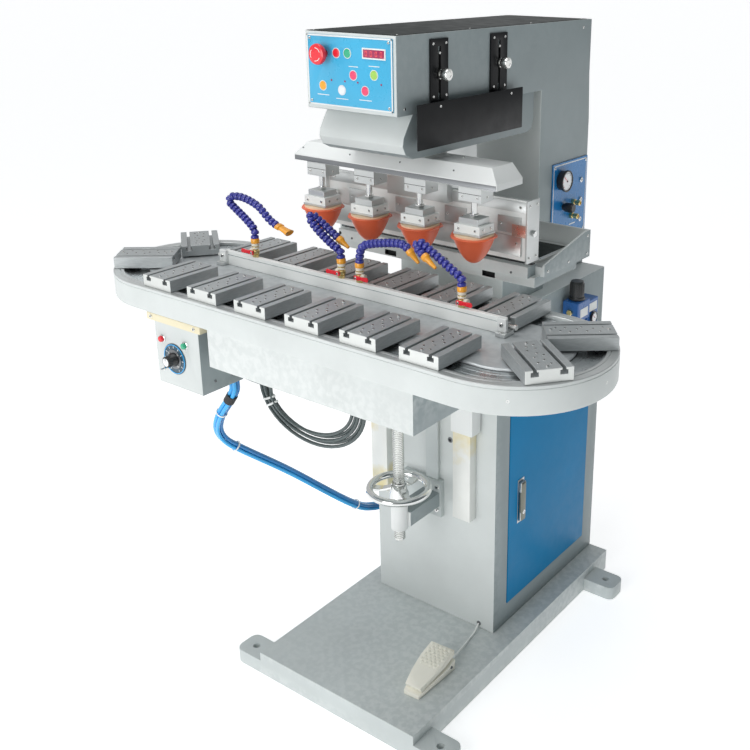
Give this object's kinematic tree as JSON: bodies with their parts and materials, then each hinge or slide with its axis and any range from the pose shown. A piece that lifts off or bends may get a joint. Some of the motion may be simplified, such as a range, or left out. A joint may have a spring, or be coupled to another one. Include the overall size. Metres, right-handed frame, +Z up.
{
  "type": "conveyor pad printing machine",
  "caption": "Floor-standing pad printer: C-shaped head with orange pads over an oval conveyor table of T-slot jigs, on a pedestal with a blue door, handwheel lift and foot pedal.",
  "frame": {"origin": "centre of the base plate's underside, on the floor", "axes": "+X along the table to the operator's right, +Y from the operator to the back, +Z up"},
  "size_m": [1.328, 1.1043, 1.642],
  "materials": {
    "body_paint": "light grey texture paint",
    "cover_paint": "light grey paint",
    "rim_paint": "light grey paint on cast aluminium",
    "deck_metal": "satin",
    "guide_steel": "ground",
    "bright_steel": "turned",
    "wheel_chrome": "polished",
    "jig_aluminium": "extruded, satin",
    "carriage_aluminium": "milled, anodised",
    "pad_rubber": "silicone",
    "door_blue": "gloss enamel",
    "panel_blue": "printed film on sheet",
    "side_blue": "satin film on sheet",
    "regulator_blue": "moulded",
    "hose_blue": "moulded",
    "lever_red": "moulded",
    "button_green": "moulded",
    "guard_black": "satin black",
    "knob_black": "moulded",
    "pedal_cream": "moulded",
    "cord_white": "sheathed",
    "tube_blue": "polyurethane tube",
    "cable_grey": "sheathed"
  },
  "bodies": {
    "root": {"base_plate": "body_paint", "pedestal": "body_paint", "lift_guide": "guide_steel", "head_housing": "body_paint", "front_cover": "cover_paint", "control_panel": "panel_blue", "ink_bed": "body_paint", "side_panel": "side_blue", "filter_regulator": "regulator_blue", "pedal_base": "pedal_cream", "pedal_cord": "cord_white"},
    "table_lift": {"lead_screw": "bright_steel", "table_frame": "body_paint", "table_rim": "rim_paint", "inner_deck": "deck_metal", "centre_bar": "carriage_aluminium", "control_box": "body_paint", "air_hose_1": "hose_blue", "air_hose_2": "hose_blue", "air_hose_3": "hose_blue", "air_hose_4": "hose_blue", "cable_coil": "cable_grey", "tube_bundle": "tube_blue"},
    "wheel": {"handwheel": "wheel_chrome"},
    "front_row": {"front_jig_1": "jig_aluminium", "front_jig_2": "jig_aluminium", "front_jig_3": "jig_aluminium", "front_jig_4": "jig_aluminium", "front_jig_5": "jig_aluminium", "front_jig_6": "jig_aluminium"},
    "back_row": {"back_jig_1": "jig_aluminium", "back_jig_2": "jig_aluminium", "back_jig_3": "jig_aluminium", "back_jig_4": "jig_aluminium", "back_jig_5": "jig_aluminium", "back_jig_6": "jig_aluminium"},
    "right_end": {"right_end_jig_1": "jig_aluminium", "right_end_jig_2": "jig_aluminium", "right_index_disc": "deck_metal"},
    "left_end": {"left_end_jig_1": "jig_aluminium", "left_end_jig_2": "jig_aluminium", "left_index_disc": "deck_metal"},
    "carriage": {"pad_carriage": "carriage_aluminium"},
    "pad_unit": {"pad_beam": "carriage_aluminium", "print_pad_1": "pad_rubber", "print_pad_2": "pad_rubber", "print_pad_3": "pad_rubber", "print_pad_4": "pad_rubber"},
    "door": {"cabinet_door": "door_blue"},
    "handle": {"door_handle": "door_blue"},
    "stop_mushroom": {"emergency_stop": "lever_red"},
    "treadle": {"pedal_treadle": "pedal_cream"},
    "guard": {"guard_plate": "guard_black"},
    "speed_dial": {"speed_knob": "knob_black"},
    "start_key": {"start_button": "button_green"},
    "stop_key": {"stop_button": "lever_red"},
    "valve_lever_1": {"valve_handle_1": "lever_red"},
    "valve_lever_2": {"valve_handle_2": "lever_red"},
    "valve_lever_3": {"valve_handle_3": "lever_red"},
    "valve_lever_4": {"valve_handle_4": "lever_red"}
  },
  "joints": [
    {"name": "table_height", "type": "slide", "parent": "root", "child": "table_lift", "axis": [0, 0, 1], "range_m": [-0.04, 0.04]},
    {"name": "handwheel_turn", "type": "hinge", "parent": "root", "child": "wheel", "pos_m": [0, -0.206, 0.512], "axis": [0, 0, 1], "range_deg": [-1500, 1500]},
    {"name": "front_row_index", "type": "slide", "parent": "table_lift", "child": "front_row", "axis": [1, 0, 0], "range_m": [-0.075, 0.075]},
    {"name": "back_row_index", "type": "slide", "parent": "table_lift", "child": "back_row", "axis": [1, 0, 0], "range_m": [-0.076, 0.076]},
    {"name": "right_end_index", "type": "hinge", "parent": "table_lift", "child": "right_end", "pos_m": [0.457, -0.396, 1.04], "axis": [0, 0, 1], "range_deg": [-39, 39]},
    {"name": "left_end_index", "type": "hinge", "parent": "table_lift", "child": "left_end", "pos_m": [-0.457, -0.396, 1.04], "axis": [0, 0, 1], "range_deg": [-39, 39]},
    {"name": "pad_shift", "type": "slide", "parent": "root", "child": "carriage", "axis": [0, 1, 0], "range_m": [0, 0.19]},
    {"name": "pad_stroke", "type": "slide", "parent": "carriage", "child": "pad_unit", "axis": [0, 0, 1], "range_m": [-0.047, 0.01]},
    {"name": "door_swing", "type": "hinge", "parent": "root", "child": "door", "pos_m": [0.1985, 0.42, 0.458], "axis": [0, 0, 1], "range_deg": [0, 110]},
    {"name": "door_handle_lift", "type": "hinge", "parent": "door", "child": "handle", "pos_m": [0.2051, 0.06, 0.3676], "axis": [0, 1, 0], "range_deg": [0, 50]},
    {"name": "emergency_stop_press", "type": "slide", "parent": "root", "child": "stop_mushroom", "axis": [0, 1, 0], "range_m": [0, 0.005]},
    {"name": "treadle_press", "type": "hinge", "parent": "root", "child": "treadle", "pos_m": [0.1682, -0.3649, 0.0843], "axis": [-0.9976, -0.0698, 0], "range_deg": [0, 2.6], "stiffness_Nm_per_rad": 8, "springref_deg": -6.88},
    {"name": "guard_slide", "type": "slide", "parent": "root", "child": "guard", "axis": [0, 0, 1], "range_m": [-0.025, 0.04]},
    {"name": "speed_knob_turn", "type": "hinge", "parent": "table_lift", "child": "speed_dial", "pos_m": [-0.33, -0.598, 0.916], "axis": [0, -1, 0], "range_deg": [-150, 150]},
    {"name": "start_press", "type": "slide", "parent": "table_lift", "child": "start_key", "axis": [0, 1, 0], "range_m": [0, 0.003], "stiffness_N_per_m": 300},
    {"name": "stop_press", "type": "slide", "parent": "table_lift", "child": "stop_key", "axis": [0, 1, 0], "range_m": [0, 0.003], "stiffness_N_per_m": 300},
    {"name": "valve_turn_1", "type": "hinge", "parent": "table_lift", "child": "valve_lever_1", "pos_m": [-0.307, -0.3658, 1.119], "axis": [0, 1, 0], "range_deg": [0, 90]},
    {"name": "valve_turn_2", "type": "hinge", "parent": "table_lift", "child": "valve_lever_2", "pos_m": [-0.031, -0.3658, 1.119], "axis": [0, 1, 0], "range_deg": [0, 90]},
    {"name": "valve_turn_3", "type": "hinge", "parent": "table_lift", "child": "valve_lever_3", "pos_m": [0.023, -0.3658, 1.119], "axis": [0, -1, 0], "range_deg": [0, 90]},
    {"name": "valve_turn_4", "type": "hinge", "parent": "table_lift", "child": "valve_lever_4", "pos_m": [0.302, -0.3658, 1.119], "axis": [0, -1, 0], "range_deg": [0, 90]}
  ],
  "couplings": [
    {"joint": "handwheel_turn", "follows": "table_height", "rad_per_m": 628.32},
    {"joint": "back_row_index", "follows": "front_row_index", "ratio": -1},
    {"joint": "right_end_index", "follows": "front_row_index", "rad_per_m": 8.9594},
    {"joint": "left_end_index", "follows": "front_row_index", "rad_per_m": 8.9594}
  ]
}
